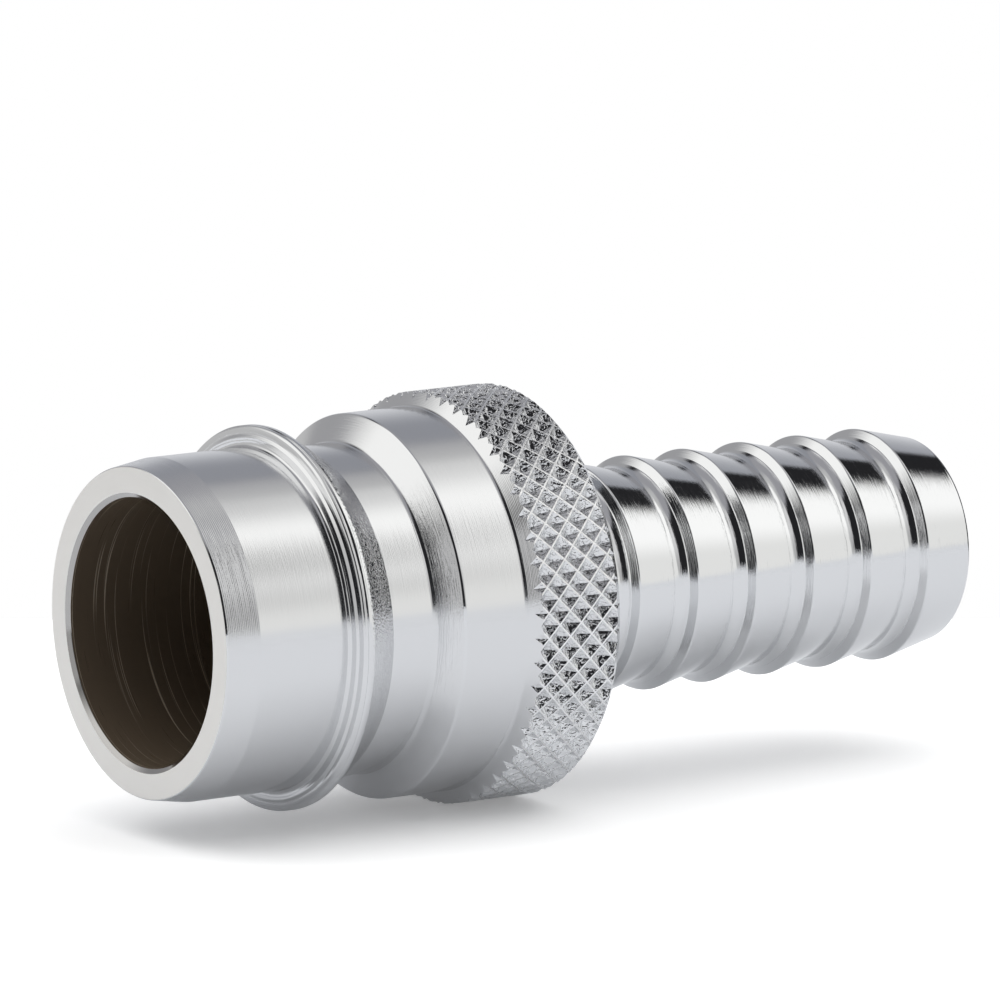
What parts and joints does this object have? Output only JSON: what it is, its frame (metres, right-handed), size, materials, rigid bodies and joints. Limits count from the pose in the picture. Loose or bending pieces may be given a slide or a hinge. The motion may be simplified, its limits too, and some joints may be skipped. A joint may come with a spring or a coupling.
{
  "type": "quick coupling probe",
  "caption": "Round quick coupling probe with an open nose, locking groove, knurled collar and barbed hose tail.",
  "frame": {"origin": "centre of the open nose face, on which the probe stands", "axes": "+Z along the probe's axis, from the nose to the end of the hose tail; X and Y are free, since the part is round"},
  "size_m": [0.0242, 0.0242, 0.0547],
  "materials": {
    "plated_brass": "turned and brightly plated"
  },
  "bodies": {
    "root": {"probe_body": "plated_brass"}
  },
  "joints": []
}
